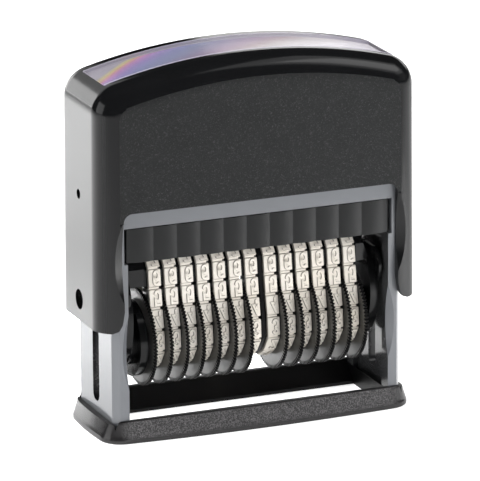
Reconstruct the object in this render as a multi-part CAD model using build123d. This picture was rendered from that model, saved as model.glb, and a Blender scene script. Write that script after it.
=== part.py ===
from build123d import *
import math
import os

os.makedirs("parts", exist_ok=True)

# ---------------------------------------------------------------------------
# Self-inking number stamp with thirteen number bands.  Millimetres.
# +X to the right, +Y to the rear, +Z up, origin at the centre of the underside.
# ---------------------------------------------------------------------------

# travel and pivot
PIVOT_Z = 29.0          # pivot of the print unit, cap up
PRINT_R = 9.6           # pivot to print face
TRAVEL = PIVOT_Z - PRINT_R   # 19.4, cap stroke: print face reaches z = 0

# base foot
BASE_HX, BASE_HY = 35.2, 13.5      # half size at the table
BASE_TOP = 4.45                    # height of the rim at the sides
BASE_SEAT = 4.0                    # where the legs stand
WIN_HX, WIN_HY = 29.3, 7.0         # paper window

# frame
FR_HX, FR_HY = 32.66, 11.0
LEG_IN = 29.4                      # inner edge of a leg's front and rear flange
WEB_IN = 30.5                      # inner face of a leg's web
WEB_HY = 7.7                       # half width of the channel in the leg
LEG_FOOT = 3.0                     # leg end, inside the foot's socket
TUN_HX, TUN_Z0, TUN_Z1 = 30.2, 38.6, 46.3   # cartridge tunnel
DECK_TOP = 51.5
SLOT_W = 3.6
SLOT_Z0, SLOT_Z1 = 8.1, 29.2       # slot end centres

# guide pin and cam groove (left leg only)
CAM_R = 4.5
PIN_R = 0.9
GROOVE_HW = 1.0

# cap
CAP_HX, CAP_HX_TOP = 36.2, 35.85   # half width at the lower edge / near the top (moulding draft)
CAP_HY = 12.84
CAP_Z0 = 24.4
CAP_TOP = 80.6
ARCH_R = 122.0
SHOULDER_R = 6.5
CAP_WALL_Y = 1.59
CAP_WALL_X = 1.75
CAP_WIN_HX, CAP_WIN_Z = 30.9, 49.95

# print unit
AXLE_Z = 19.23
WHEEL_R = 10.41
WHEEL_T = 0.72
DRUM_R = 5.85
PITCH = 3.635
X1_RIGHT = -22.66      # right face of setting wheel 1
X8_RIGHT = 7.05        # right face of setting wheel 8
BAND_W = 2.80
AXLE_R = 1.5
PLATE_R = 8.1

# outline of a band's outer surface, front half from the print face down, in Y and Z
BAND_PATH = [(-2.25, 38.6), (-5.05, 35.38), (-5.6, 31.1), (-6.3, 26.85),
             (-7.2, 22.3), (-7.6, 17.55), (-4.8, 13.75), (-0.95, 11.6)]
BAND_LOOP = BAND_PATH + [(-y, z) for y, z in reversed(BAND_PATH)]
BAND_T = 1.1


def box(x0, x1, y0, y1, z0, z1):
    return Pos((x0 + x1) / 2, (y0 + y1) / 2, (z0 + z1) / 2) * Box(x1 - x0, y1 - y0, z1 - z0)


def cyl_x(x0, x1, y, z, r):
    return Pos((x0 + x1) / 2, y, z) * Rot(0, 90, 0) * Cylinder(r, x1 - x0)


def cyl_y(y0, y1, x, z, r):
    return Pos(x, (y0 + y1) / 2, z) * Rot(90, 0, 0) * Cylinder(r, y1 - y0)


def cyl_z(z0, z1, x, y, r):
    return Pos(x, y, (z0 + z1) / 2) * Cylinder(r, z1 - z0)


def prism_x(points, x0, x1):
    """Polygon given in (y, z), extruded from x0 to x1."""
    wire = Polyline(*[(x0, y, z) for y, z in points], close=True)
    return extrude(make_face(wire), amount=x1 - x0, dir=(1, 0, 0))


def prism_y(points, y0, y1):
    """Polygon given in (x, z), extruded from y0 to y1."""
    wire = Polyline(*[(x, y0, z) for x, z in points], close=True)
    return extrude(make_face(wire), amount=y1 - y0, dir=(0, 1, 0))


def inset(points, d):
    """Convex polygon moved inwards by d."""
    n = len(points)
    cy = sum(p[0] for p in points) / n
    cz = sum(p[1] for p in points) / n
    lines = []
    for i in range(n):
        (y0, z0), (y1, z1) = points[i], points[(i + 1) % n]
        ny, nz = z1 - z0, -(y1 - y0)
        m = math.hypot(ny, nz)
        ny, nz = ny / m, nz / m
        if (cy - y0) * ny + (cz - z0) * nz < 0:
            ny, nz = -ny, -nz
        lines.append((ny, nz, ny * y0 + nz * z0 + d))
    out = []
    for i in range(n):
        a, b = lines[i - 1], lines[i]
        det = a[0] * b[1] - a[1] * b[0]
        out.append(((a[2] * b[1] - b[2] * a[1]) / det, (a[0] * b[2] - b[0] * a[2]) / det))
    return out


def scoop_tool(s, f, x_edge, y_face, dx, dy, z_mid, radius=33.0):
    """Drum whose side grazes a vertical corner edge: it leaves a lens-shaped bevel, dx by dy deep at z_mid."""
    m = math.hypot(dx, dy)
    n = Vector(-s * dy, f * dx, 0) / m
    t = Vector(-s * dx, -f * dy, 0) / m
    centre = Vector(s * (x_edge + dx / 2), f * (y_face - dy / 2), z_mid) + n * radius
    return Plane(origin=centre, x_dir=(0, 0, 1), z_dir=t) * Cylinder(radius, 5.0)


def save(shape, name):
    solids = shape.solids()
    export_step(solids[0] if len(solids) == 1 else Compound(children=list(solids)),
                f"parts/{name}.step")


# ---------------------------------------------------------------------------
# base foot: flared ring, paper window through it, sockets for the legs
# ---------------------------------------------------------------------------
def bowed(hx, hy, bow_x, bow_y, r, z):
    """Rounded rectangle whose four sides bow outwards."""
    pts = [(hx - bow_x, -(hy - bow_y)), (hx - bow_x, hy - bow_y),
           (-(hx - bow_x), hy - bow_y), (-(hx - bow_x), -(hy - bow_y))]
    e = [ThreePointArc(pts[0], (hx, 0), pts[1]),
         ThreePointArc(pts[1], (0, hy), pts[2]),
         ThreePointArc(pts[2], (-hx, 0), pts[3]),
         ThreePointArc(pts[3], (0, -hy), pts[0])]
    face = make_face(Wire(e))
    face = fillet(face.vertices(), r)
    return Pos(0, 0, z) * face


lower = extrude(bowed(BASE_HX, BASE_HY, 0.7, 1.5, 4.6, 0), amount=1.0)
flare = loft([bowed(BASE_HX, BASE_HY, 0.7, 1.5, 4.6, 1.0),
              bowed(33.75, 12.0, 0.75, 0.35, 3.2, BASE_TOP + 0.35)])
base = lower + flare
base = base - box(-WIN_HX, WIN_HX, -WIN_HY, WIN_HY, -1, 8)
# funnel sides of the window: front and rear walls lean outwards from the window to the rim
base = base - prism_x([(-WIN_HY, 0.7), (-10.8, 4.45), (-10.8, 6), (10.8, 6), (10.8, 4.45),
                       (WIN_HY, 0.7)], -WIN_HX, WIN_HX)
# flat seats for the legs, with a socket in each
for s in (-1, 1):
    x0, x1 = sorted((s * WIN_HX, s * 34.0))
    base = base - box(x0 - 0.01, x1 + 0.01, -11.15, 11.15, BASE_SEAT, 8)
    x0, x1 = sorted((s * (LEG_IN - 0.05), s * (FR_HX + 0.05)))
    base = base - box(x0, x1, -FR_HY - 0.05, FR_HY + 0.05, LEG_FOOT, 8)
save(base, "base_foot")

# ---------------------------------------------------------------------------
# frame: two legs, deck, cartridge tunnel
# ---------------------------------------------------------------------------
CH_X, CH_Y = 1.23, 1.76
plan = [(FR_HX, -(FR_HY - CH_Y)), (FR_HX, FR_HY - CH_Y), (FR_HX - CH_X, FR_HY),
        (-(FR_HX - CH_X), FR_HY), (-FR_HX, FR_HY - CH_Y), (-FR_HX, -(FR_HY - CH_Y)),
        (-(FR_HX - CH_X), -FR_HY), (FR_HX - CH_X, -FR_HY)]
frame_part = extrude(make_face(Polyline(*[(x, y, LEG_FOOT) for x, y in plan], close=True)),
                     amount=DECK_TOP - LEG_FOOT, dir=(0, 0, 1))
# room for the print unit between the legs, then the wider cartridge tunnel
frame_part -= box(-LEG_IN, LEG_IN, -20, 20, 0, TUN_Z0 + 0.01)
frame_part -= box(-TUN_HX, TUN_HX, -20, 20, TUN_Z0, TUN_Z1)
# channel on the inner side of each leg
for s in (-1, 1):
    x0, x1 = sorted((s * (LEG_IN - 0.5), s * WEB_IN))
    frame_part -= box(x0, x1, -WEB_HY, WEB_HY, 0, TUN_Z0 - 1.6)
    # vertical slot for the pivot stub
    x0, x1 = sorted((s * 28.0, s * 34.0))
    frame_part -= box(x0, x1, -SLOT_W / 2, SLOT_W / 2, SLOT_Z0, SLOT_Z1)
    frame_part -= cyl_x(x0, x1, 0, SLOT_Z0, SLOT_W / 2)
    frame_part -= cyl_x(x0, x1, 0, SLOT_Z1, SLOT_W / 2)
    # long shallow scoop on the front and rear inner edge of each leg
    for f in (-1, 1):
        frame_part -= scoop_tool(s, f, LEG_IN, FR_HY, 1.4, 1.5, 19.3)
# hollow deck with pockets, so that the wall thickness stays even
for x0, x1 in ((-31.2, -23.0), (-13.4, -0.8), (0.8, 13.4), (23.0, 31.2)):
    frame_part -= box(x0, x1, -9.6, 9.6, TUN_Z1 + 1.6, DECK_TOP + 1)
# spring cups
SPRING_X = 18.2
SPRING_SEAT = 48.4
for s in (-1, 1):
    frame_part -= cyl_z(SPRING_SEAT, DECK_TOP + 1, s * SPRING_X, 0, 3.9)
    frame_part += cyl_z(SPRING_SEAT - 0.2, DECK_TOP + 1.0, s * SPRING_X, 0, 1.9)
# cam groove in the left leg's web: path of the guide pin while the unit turns half a turn
N = 40
path = []
for i in range(N + 1):
    th = math.pi * i / N
    path.append((-CAM_R * math.sin(th), PIVOT_Z - TRAVEL * i / N + CAM_R * math.cos(th)))
left, right = [], []
for i, (y, z) in enumerate(path):
    a = path[max(i - 1, 0)]
    b = path[min(i + 1, N)]
    dy, dz = b[0] - a[0], b[1] - a[1]
    m = math.hypot(dy, dz)
    left.append((y - dz / m * GROOVE_HW, z + dy / m * GROOVE_HW))
    right.append((y + dz / m * GROOVE_HW, z - dy / m * GROOVE_HW))
g_edges = [Spline(*[(-31.75, y, z) for y, z in left]),
           Spline(*[(-31.75, y, z) for y, z in right])]
g_edges.append(Line((-31.75, *left[0]), (-31.75, *right[0])))
g_edges.append(Line((-31.75, *left[-1]), (-31.75, *right[-1])))
groove = extrude(make_face(Wire(g_edges)), amount=3.0, dir=(1, 0, 0))
groove += cyl_x(-31.75, -28.75, path[0][0], path[0][1], GROOVE_HW + 0.04)
groove += cyl_x(-31.75, -28.75, path[-1][0], path[-1][1], GROOVE_HW + 0.04)
frame_part -= groove
save(frame_part, "frame")

# ---------------------------------------------------------------------------
# cap shell
# ---------------------------------------------------------------------------


def cap_profile(hx0, hx1, z0, top, arch_r, shoulder, y):
    """Front view outline: slightly drafted sides, round shoulders, shallow arch on top."""
    cz = top - arch_r
    z_side = cz + math.sqrt(arch_r ** 2 - hx1 ** 2)
    e = [Line((-hx0, y, z0), (-hx1, y, z_side)),
         ThreePointArc((-hx1, y, z_side), (0, y, top), (hx1, y, z_side)),
         Line((hx1, y, z_side), (hx0, y, z0)),
         Line((hx0, y, z0), (-hx0, y, z0))]
    face = make_face(Wire(e))
    top_v = [v for v in face.vertices() if v.Z > z0 + 10]
    return fillet(top_v, shoulder)


outer = extrude(cap_profile(CAP_HX, CAP_HX_TOP, CAP_Z0, CAP_TOP, ARCH_R, SHOULDER_R, -CAP_HY),
                amount=2 * CAP_HY, dir=(0, 1, 0))
rim = [e for e in outer.edges() if abs(abs(e.center().Y) - CAP_HY) < 0.01 and e.center().Z > CAP_Z0 + 1]
outer = fillet(rim, 5.4)
inner = extrude(cap_profile(CAP_HX - CAP_WALL_X, CAP_HX_TOP - CAP_WALL_X, CAP_Z0 - 5,
                            CAP_TOP - 2.3, ARCH_R - 2.3, SHOULDER_R - 1.5, -(CAP_HY - CAP_WALL_Y)),
                amount=2 * (CAP_HY - CAP_WALL_Y), dir=(0, 1, 0))
rim = [e for e in inner.edges()
       if abs(abs(e.center().Y) - (CAP_HY - CAP_WALL_Y)) < 0.01 and e.center().Z > CAP_Z0]
inner = fillet(rim, 3.4)
cap = outer - inner
# front and rear windows
win = box(-CAP_WIN_HX, CAP_WIN_HX, -20, 20, CAP_Z0 - 5, CAP_WIN_Z)
cut_edges = [e for e in win.edges() if abs(e.center().Z - CAP_WIN_Z) < 0.01 and abs(abs(e.center().X) - CAP_WIN_HX) < 0.01]
win = fillet(cut_edges, 2.0)
cap = cap - win
# ears: rounded lower inner corners
for s in (-1, 1):
    for f in (-1, 1):
        y0, y1 = sorted((f * 10.5, f * 13.5))
        wedge = prism_y([(s * (CAP_WIN_HX - 0.01), CAP_Z0 - 0.01), (s * (CAP_WIN_HX + 2.6), CAP_Z0 - 0.01),
                         (s * (CAP_WIN_HX + 1.2), CAP_Z0 + 0.55), (s * (CAP_WIN_HX + 0.45), CAP_Z0 + 1.9),
                         (s * (CAP_WIN_HX - 0.01), CAP_Z0 + 4.6)], y0, y1)
        cap -= wedge
        # long shallow scoop on the inner edge of each ear
        cap -= scoop_tool(s, f, CAP_WIN_HX, CAP_HY, 2.8, 1.3, 39.5)
# bearing holes for the pivot stubs, with a wider recess outside, and the small gate hole above
for s in (-1, 1):
    x0, x1 = sorted((s * 33.0, s * 37.0))
    cap -= cyl_x(x0, x1, 0, PIVOT_Z, 1.78)
    x0, x1 = sorted((s * 35.35, s * 38.0))
    cap -= cyl_x(x0, x1, 0, PIVOT_Z, 2.15)
    x0, x1 = sorted((s * 33.0, s * 38.0))
    cap -= cyl_x(x0, x1, 0, 51.8, 1.05)
# spring posts under the ceiling and a shallow recess on top for the index card and window
for s in (-1, 1):
    cap += cyl_z(73.2, 78.0, s * SPRING_X, 0, 1.9)
REC_HX, REC_HY = 32.4, 6.35


def arch_slab(hx, hy, z_low, z_high):
    """Slab that follows the arch of the top, between two offsets measured down from the arch."""
    r0, r1 = ARCH_R - z_low, ARCH_R - z_high
    cz = CAP_TOP - ARCH_R
    zl0, zl1 = cz + math.sqrt(r0 ** 2 - hx ** 2), cz + math.sqrt(r1 ** 2 - hx ** 2)
    y = -hy
    e = [ThreePointArc((-hx, y, zl0), (0, y, cz + r0), (hx, y, zl0)),
         Line((hx, y, zl0), (hx, y, zl1)),
         ThreePointArc((hx, y, zl1), (0, y, cz + r1), (-hx, y, zl1)),
         Line((-hx, y, zl1), (-hx, y, zl0))]
    return extrude(make_face(Wire(e)), amount=2 * hy, dir=(0, 1, 0))


cap -= arch_slab(REC_HX, REC_HY, 1.0, -3.0)
# finely textured panel on the front and rear, sunk by a tenth, its upper edge parallel to the arch
PANEL_HX, PANEL_DROP, PANEL_SINK = 31.9, 5.8, 0.1
pr = ARCH_R - PANEL_DROP
pz = CAP_TOP - ARCH_R + math.sqrt(pr ** 2 - PANEL_HX ** 2)
for f in (-1, 1):
    y0 = f * (CAP_HY - PANEL_SINK)
    e = [ThreePointArc((-PANEL_HX, y0, pz), (0, y0, CAP_TOP - ARCH_R + pr), (PANEL_HX, y0, pz)),
         Line((PANEL_HX, y0, pz), (PANEL_HX, y0, CAP_WIN_Z - 2.0)),
         Line((PANEL_HX, y0, CAP_WIN_Z - 2.0), (-PANEL_HX, y0, CAP_WIN_Z - 2.0)),
         Line((-PANEL_HX, y0, CAP_WIN_Z - 2.0), (-PANEL_HX, y0, pz))]
    face = make_face(Wire(e))
    face = fillet([v for v in face.vertices() if v.Z > 60], 1.6)
    cap -= extrude(face, amount=1.0, dir=(0, f, 0))
save(cap, "cap_shell")

# index card and its clear window, in the recess
save(arch_slab(REC_HX - 0.35, REC_HY - 0.2, 1.0, 0.75), "index_card")
win_part = arch_slab(REC_HX - 0.08, REC_HY - 0.06, 0.73, -0.05)
save(win_part, "index_window")

# ---------------------------------------------------------------------------
# ink cartridge: tray with fluted ends front and rear, and its pad
# ---------------------------------------------------------------------------
TRAY_HX, TRAY_Z0, TRAY_Z1 = 29.55, 38.75, 46.15
TRAY_HY = 10.9
FL_P, FL_R = 5.22, 9.0
FL_SAG = FL_R - math.sqrt(FL_R ** 2 - (FL_P / 2) ** 2)
tray = box(-TRAY_HX, TRAY_HX, -TRAY_HY + FL_SAG, TRAY_HY - FL_SAG, TRAY_Z0, TRAY_Z1)
for i in range(11):
    xc = (i - 5) * FL_P
    for f in (-1, 1):
        # each flute is a shallow bulge, a cylinder segment that stands FL_SAG proud
        y0, y1 = sorted((f * (TRAY_HY - 1.5), f * (TRAY_HY + 1)))
        tray += (cyl_z(TRAY_Z0, TRAY_Z1, xc, f * (TRAY_HY - FL_R), FL_R)
                 & box(xc - FL_P / 2, xc + FL_P / 2, y0, y1, TRAY_Z0, TRAY_Z1))
tray -= box(-27.6, 27.6, -8.8, 8.8, TRAY_Z0 - 1, 44.2)
for s in (-1, 1):
    tray += box(*sorted((s * (TRAY_HX - 0.2), s * (TRAY_HX + 0.5))), -7.0, 7.0, 41.0, 43.0)
save(tray, "ink_cartridge")
save(box(-27.5, 27.5, -8.7, 8.7, 38.8, 44.2), "ink_pad")

# ---------------------------------------------------------------------------
# return springs: closed-coil compression springs between deck and cap ceiling
# ---------------------------------------------------------------------------
WIRE_R = 0.4
SPRING_R = 2.75
ceiling = CAP_TOP - ARCH_R + math.sqrt((ARCH_R - 2.3) ** 2 - (SPRING_X + SPRING_R) ** 2)
z0, z1 = SPRING_SEAT + WIRE_R + 0.02, ceiling - WIRE_R - 0.05
for s, nm in ((-1, "left"), (1, "right")):
    turns = 8
    helix = Pos(s * SPRING_X, 0, z0) * Helix(pitch=(z1 - z0) / turns, height=z1 - z0, radius=SPRING_R)
    start = helix @ 0
    tangent = helix % 0
    prof = Plane(origin=start, z_dir=tangent) * Circle(WIRE_R)
    coil = sweep(prof, path=helix, is_frenet=True)
    save(coil, f"return_spring_{nm}")

# ---------------------------------------------------------------------------
# print unit
# ---------------------------------------------------------------------------
BORE = AXLE_R + 0.03
ARM_IN, ARM_OUT = 26.9, 28.7  # oval side arm, from its inner to its outer face
WING_IN = 28.1                # the wider wing behind its upper half


def side_plate(s):
    """Oval arm with a wing about the pivot, hub for the axle, pivot boss and stub. s is the side, -1 or 1."""
    def span(a, b):
        return tuple(sorted((s * a, s * b)))

    x0, x1 = span(ARM_IN, ARM_OUT)
    p = Pos((x0 + x1) / 2, 0, 24.5) * Rot(0, 90, 0) * extrude(Ellipse(10.2, 7.4), amount=(x1 - x0) / 2, both=True)
    x0, x1 = span(WING_IN, ARM_OUT)
    p += Pos((x0 + x1) / 2, 0, 30.75) * Rot(0, 90, 0) * extrude(RectangleRounded(7.6, 18.5, 3.7), amount=(x1 - x0) / 2,
                                                               both=True)
    # pivot boss and stub: the stub goes through the leg's slot into the cap's bearing hole
    p += cyl_x(*span(ARM_OUT - 0.2, 29.9), 0, PIVOT_Z, 3.6)
    p += cyl_x(*span(29.8, 35.1), 0, PIVOT_Z, 1.72)
    return p


# left: round plate beside the first wheel, hub, and a square head block over the wheel
plate_l = side_plate(-1)
plate_l += cyl_x(-25.6, -23.9, 0, AXLE_Z, PLATE_R)
plate_l += cyl_x(-27.0, -25.5, 0, AXLE_Z, 5.6)
plate_l += box(-27.3, -23.6, -4.9, 4.9, 31.5, 35.3)
plate_l += prism_x([(-4.9, 35.3), (-2.6, 37.9), (2.6, 37.9), (4.9, 35.3)], -27.3, -23.6)
# guide pin on a short arm, runs in the cam groove of the left leg
plate_l += prism_x([(-1.9, 28.0), (-1.3, PIVOT_Z + CAM_R + 0.6), (1.3, PIVOT_Z + CAM_R + 0.6), (1.9, 28.0)],
                   -29.9, -28.5)
plate_l += cyl_x(-31.6, -29.8, 0, PIVOT_Z + CAM_R, PIN_R)
plate_l -= cyl_x(-27.7, -20, 0, AXLE_Z, BORE)
save(plate_l, "side_plate_left")
# right: hub up to the last wheel, and a head block whose outer side slopes down to the arm
plate_r = side_plate(1)
plate_r += cyl_x(25.4, 27.0, 0, AXLE_Z, 4.8)
head = prism_y([(24.55, 31.5), (27.7, 31.5), (26.0, 36.0), (25.8, 37.9), (24.55, 37.9)], -4.9, 4.9)
head &= prism_x([(-4.9, 31.0), (-4.9, 35.3), (-2.6, 37.9), (2.6, 37.9), (4.9, 35.3), (4.9, 31.0)], 24, 29)
plate_r += head
plate_r -= cyl_x(20, 27.7, 0, AXLE_Z, BORE)
save(plate_r, "side_plate_right")

# platen bar under the bands, with thin combs between them
inner_loop = inset(BAND_LOOP, BAND_T + 0.02)
zmin = 31.2


def clip_above(poly, z):
    out = []
    n = len(poly)
    for i in range(n):
        (ya, za), (yb, zb) = poly[i], poly[(i + 1) % n]
        if za >= z:
            out.append((ya, za))
        if (za - z) * (zb - z) < 0:
            k = (z - za) / (zb - za)
            out.append((ya + k * (yb - ya), z))
    return out


platen = prism_x(clip_above(inner_loop, zmin), -23.58, 24.53)
save(platen, "platen_bar")

# wheel axle
save(cyl_x(-27.6, 27.6, 0, AXLE_Z, AXLE_R), "wheel_axle")

# centre divider, between band 7 and band 8
band_x = []
for i in range(7):
    xr = X1_RIGHT + PITCH * i
    band_x.append((xr - WHEEL_T, xr, xr + 0.06, xr + 0.06 + BAND_W))
for i in range(6):
    xr = X8_RIGHT + PITCH * i
    band_x.append((xr - WHEEL_T, xr, xr - WHEEL_T - 0.06 - BAND_W, xr - WHEEL_T - 0.06))
gap0, gap1 = band_x[6][3], band_x[7][2]
mid = (gap0 + gap1) / 2
div = prism_x(inset(BAND_LOOP, 0.7), mid - 0.45, mid + 0.45)
div -= cyl_x(mid - 2, mid + 2, 0, AXLE_Z, AXLE_R + 0.03)
div -= prism_x([(y * 1.004, z + 0.0) for y, z in clip_above(inner_loop, zmin)], mid - 2, mid + 2)
save(div, "centre_divider")

# wheels and bands
loop_out = BAND_LOOP
loop_in = inset(BAND_LOOP, BAND_T)
for i, (w0, w1, b0, b1) in enumerate(band_x):
    n = f"{i + 1:02d}"
    wheel = cyl_x(w0, w1, 0, AXLE_Z, WHEEL_R)
    wheel += cyl_x(*sorted((w1 if i < 7 else w0, b1 if i < 7 else b0)), 0, AXLE_Z, DRUM_R)
    wheel -= cyl_x(w0 - 5, w1 + 5, 0, AXLE_Z, AXLE_R + 0.06)
    save(wheel, f"number_wheel_{n}")
    band = prism_x(loop_out, b0, b1) - prism_x(loop_in, b0 - 1, b1 + 1)
    save(band, f"number_band_{n}")

print("travel", TRAVEL, "flip ratio rad/m", math.pi / (TRAVEL / 1000))
print("band x", [(round(a, 2), round(b, 2), round(c, 2), round(d, 2)) for a, b, c, d in band_x])
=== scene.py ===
import math

import bmesh
import bpy
import numpy as np
from mathutils import Matrix, Vector


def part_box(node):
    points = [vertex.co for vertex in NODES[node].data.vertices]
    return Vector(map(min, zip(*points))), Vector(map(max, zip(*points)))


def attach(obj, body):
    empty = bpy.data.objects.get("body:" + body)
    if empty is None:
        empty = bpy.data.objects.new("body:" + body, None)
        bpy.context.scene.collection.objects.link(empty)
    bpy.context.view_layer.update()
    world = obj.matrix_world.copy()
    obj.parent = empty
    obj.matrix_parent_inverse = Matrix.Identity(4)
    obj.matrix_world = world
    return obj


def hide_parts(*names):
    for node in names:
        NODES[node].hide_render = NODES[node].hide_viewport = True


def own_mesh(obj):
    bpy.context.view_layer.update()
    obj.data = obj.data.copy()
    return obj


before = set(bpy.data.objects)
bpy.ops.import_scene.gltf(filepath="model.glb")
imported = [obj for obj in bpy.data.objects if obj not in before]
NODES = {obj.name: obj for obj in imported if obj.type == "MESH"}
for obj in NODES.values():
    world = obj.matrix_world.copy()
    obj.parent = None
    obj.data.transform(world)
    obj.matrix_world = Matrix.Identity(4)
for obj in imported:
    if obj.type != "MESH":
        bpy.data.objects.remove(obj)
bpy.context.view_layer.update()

MM = 0.001
scene = bpy.context.scene

# ---------------------------------------------------------------------------
# camera: at the photograph's viewing angle, 480 x 481 frame
# ---------------------------------------------------------------------------
CAM_POS = (-0.3973226, -0.9734607, 0.3455686)
CAM_RIGHT = (0.92517713, -0.37949536, -0.00552720)
CAM_DOWN = (-0.11161309, -0.25812632, -0.95964229)
CAM_FWD = (0.36275308, 0.88845600, -0.28116922)
cam_data = bpy.data.cameras.new("camera")
cam_data.sensor_fit = "AUTO"
cam_data.sensor_width = 36.0
cam_data.lens = 36.0 * 5199.0 / 481.0
cam_data.clip_start, cam_data.clip_end = 0.05, 20.0
cam = bpy.data.objects.new("camera", cam_data)
scene.collection.objects.link(cam)
cam.matrix_world = Matrix((
    (CAM_RIGHT[0], -CAM_DOWN[0], -CAM_FWD[0], CAM_POS[0]),
    (CAM_RIGHT[1], -CAM_DOWN[1], -CAM_FWD[1], CAM_POS[1]),
    (CAM_RIGHT[2], -CAM_DOWN[2], -CAM_FWD[2], CAM_POS[2]),
    (0, 0, 0, 1)))
scene.camera = cam
scene.view_settings.view_transform = "Standard"
scene.view_settings.look = "None"
scene.cycles.use_denoising = True


# ---------------------------------------------------------------------------
# mesh helpers: all lengths in millimetres, meshes end up in metres
# ---------------------------------------------------------------------------
def finish_mesh(name, verts, faces, body, mats, face_mats=None, smooth=35.0, bevel=0.0, segments=2,
                bevel_angle=28.0, weighted=True, replace=None, slot=None):
    me = bpy.data.meshes.new(name)
    v = np.asarray(verts, float) * MM
    me.from_pydata(v.tolist(), [], [list(map(int, f)) for f in faces])
    me.validate()
    bm = bmesh.new()
    bm.from_mesh(me)
    bmesh.ops.recalc_face_normals(bm, faces=bm.faces)
    bm.to_mesh(me)
    bm.free()
    return dress(name, me, body, mats, face_mats, smooth, bevel, segments, bevel_angle, weighted, replace, slot)


def dress(name, me, body, mats, face_mats=None, smooth=35.0, bevel=0.0, segments=2, bevel_angle=28.0,
          weighted=True, replace=None, slot=None):
    me.name = name
    for m in (mats if isinstance(mats, (list, tuple)) else [mats]):
        me.materials.append(m.mat)
    if face_mats is not None:
        me.polygons.foreach_set("material_index", np.asarray(face_mats, np.int32))
    me.shade_smooth()
    me.set_sharp_from_angle(angle=math.radians(smooth))
    ob = bpy.data.objects.new(name, me)
    scene.collection.objects.link(ob)
    if bevel > 0:
        b = ob.modifiers.new("edges", "BEVEL")
        b.width = bevel * MM
        b.segments = segments
        b.limit_method = "ANGLE"
        b.angle_limit = math.radians(bevel_angle)
        b.use_clamp_overlap = True
        b.harden_normals = False
        b.miter_outer = "MITER_ARC"
    if weighted:
        w = ob.modifiers.new("normals", "WEIGHTED_NORMAL")
        w.mode = "FACE_AREA"
        w.weight = 60
        w.keep_sharp = True
    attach(ob, body)
    if replace:
        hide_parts(*([replace] if isinstance(replace, str) else replace))
    return ob


def cad_mesh(node, dissolve=0.6):
    """A clean copy of a CAD node's mesh: welded, with flat faces joined again."""
    bm = bmesh.new()
    bm.from_mesh(NODES[node].data)
    for layer in list(bm.loops.layers.float_vector.values()):
        bm.loops.layers.float_vector.remove(layer)
    bmesh.ops.remove_doubles(bm, verts=bm.verts, dist=2e-6)
    bmesh.ops.dissolve_limit(bm, angle_limit=math.radians(dissolve), verts=bm.verts, edges=bm.edges,
                             use_dissolve_boundaries=False)
    bmesh.ops.recalc_face_normals(bm, faces=bm.faces)
    me = bpy.data.meshes.new(node + "_skin")
    bm.to_mesh(me)
    bm.free()
    return me


def cad_piece(node, name, body, mats, pick=None, slot=None, **kw):
    me = cad_mesh(node, kw.pop("dissolve", 0.6))
    fm = None
    if pick is not None:
        fm = [pick(Vector(p.center) / MM, p.normal) for p in me.polygons]
    return dress(name, me, body, mats, face_mats=fm, replace=node, slot=slot, **kw)


def ring_faces(a, b, n, closed=True):
    """Quads between two rings of n vertices that start at a and b."""
    m = n if closed else n - 1
    return [(a + i, a + (i + 1) % n, b + (i + 1) % n, b + i) for i in range(m)]


class Builder:
    """Collects vertices and faces in millimetres."""

    def __init__(self):
        self.v, self.f, self.m = [], [], []

    def add(self, verts, faces, mat=0):
        o = len(self.v)
        self.v.extend([tuple(map(float, p)) for p in verts])
        self.f.extend([tuple(o + int(i) for i in f) for f in faces])
        self.m.extend([mat] * len(faces))

    def prism(self, bottom, top, mat=0):
        """Closed solid between two rings of the same length."""
        n = len(bottom)
        faces = [(i, (i + 1) % n, n + (i + 1) % n, n + i) for i in range(n)]
        faces += [tuple(range(n))[::-1], tuple(range(n, 2 * n))]
        self.add(list(bottom) + list(top), faces, mat)


# ---------------------------------------------------------------------------
# materials
# ---------------------------------------------------------------------------
def lin(c):
    return c / 12.92 if c <= 0.04045 else ((c + 0.055) / 1.055) ** 2.4


def srgb(r, g, b):
    return (lin(r / 255), lin(g / 255), lin(b / 255), 1.0)


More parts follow.
